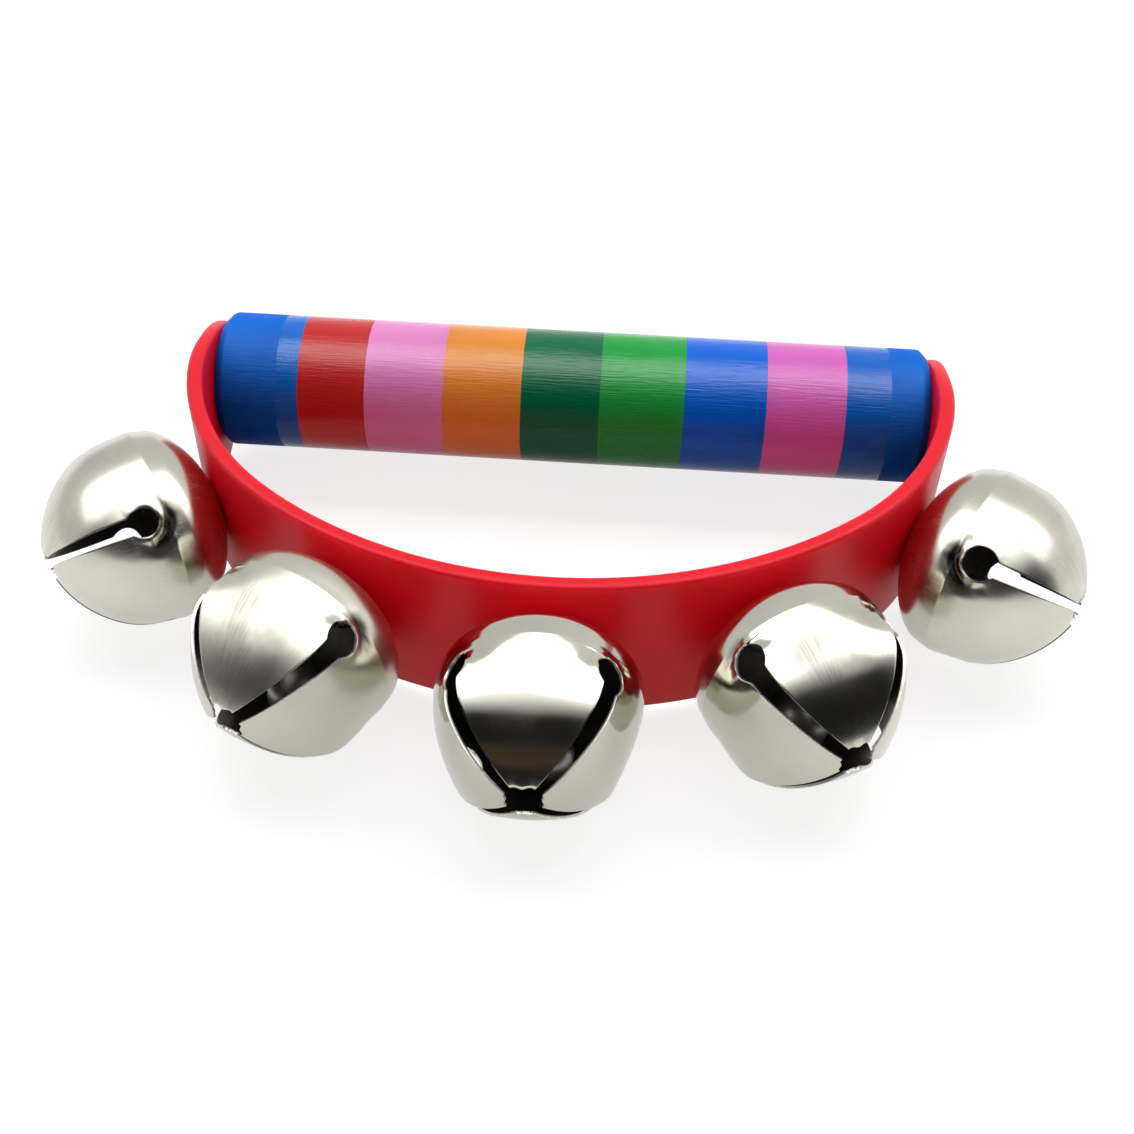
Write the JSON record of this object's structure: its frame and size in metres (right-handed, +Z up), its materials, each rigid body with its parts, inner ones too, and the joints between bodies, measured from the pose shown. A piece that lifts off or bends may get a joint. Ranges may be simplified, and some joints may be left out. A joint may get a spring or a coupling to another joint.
{
  "type": "bell rattle",
  "caption": "Hand-held bell rattle: a striped wooden dowel handle closed by a bent red band that carries riveted petal jingle bells, each with a loose pea inside.",
  "frame": {"origin": "on the surface that the rattle lies on, under the middle of its outline", "axes": "+X along the handle towards its right end, -Y towards the belled front, +Z up out of the plane of the band"},
  "size_m": [0.1346, 0.0806, 0.025],
  "materials": {
    "painted_wood": "gloss paint in stripes",
    "red_plastic": "satin",
    "nickel_shell": "bright nickel plate",
    "pea_steel": "dull",
    "rivet_aluminium": "satin",
    "mandrel_steel": "dull",
    "screw_steel": "bright zinc plate"
  },
  "bodies": {
    "rattle_frame": {"handle_dowel": "painted_wood", "bell_band": "red_plastic", "left_end_screw": "screw_steel", "right_end_screw": "screw_steel", "bell_shell_1": "nickel_shell", "bell_shell_2": "nickel_shell", "bell_shell_3": "nickel_shell", "bell_shell_4": "nickel_shell", "bell_shell_5": "nickel_shell", "bell_rivet_1": "rivet_aluminium", "bell_rivet_2": "rivet_aluminium", "bell_rivet_3": "rivet_aluminium", "bell_rivet_4": "rivet_aluminium", "bell_rivet_5": "rivet_aluminium", "rivet_mandrel_1": "mandrel_steel", "rivet_mandrel_2": "mandrel_steel", "rivet_mandrel_3": "mandrel_steel", "rivet_mandrel_4": "mandrel_steel", "rivet_mandrel_5": "mandrel_steel"},
    "pea_1": {"bell_pea_1": "pea_steel"},
    "pea_2": {"bell_pea_2": "pea_steel"},
    "pea_3": {"bell_pea_3": "pea_steel"},
    "pea_4": {"bell_pea_4": "pea_steel"},
    "pea_5": {"bell_pea_5": "pea_steel"}
  },
  "joints": [
    {"name": "pea_1_bounce", "type": "slide", "parent": "rattle_frame", "child": "pea_1", "axis": [0, 0, 1], "range_m": [0, 0.0148]},
    {"name": "pea_2_bounce", "type": "slide", "parent": "rattle_frame", "child": "pea_2", "axis": [0, 0, 1], "range_m": [0, 0.0148]},
    {"name": "pea_3_bounce", "type": "slide", "parent": "rattle_frame", "child": "pea_3", "axis": [0, 0, 1], "range_m": [0, 0.0148]},
    {"name": "pea_4_bounce", "type": "slide", "parent": "rattle_frame", "child": "pea_4", "axis": [0, 0, 1], "range_m": [0, 0.0148]},
    {"name": "pea_5_bounce", "type": "slide", "parent": "rattle_frame", "child": "pea_5", "axis": [0, 0, 1], "range_m": [0, 0.0148]}
  ]
}
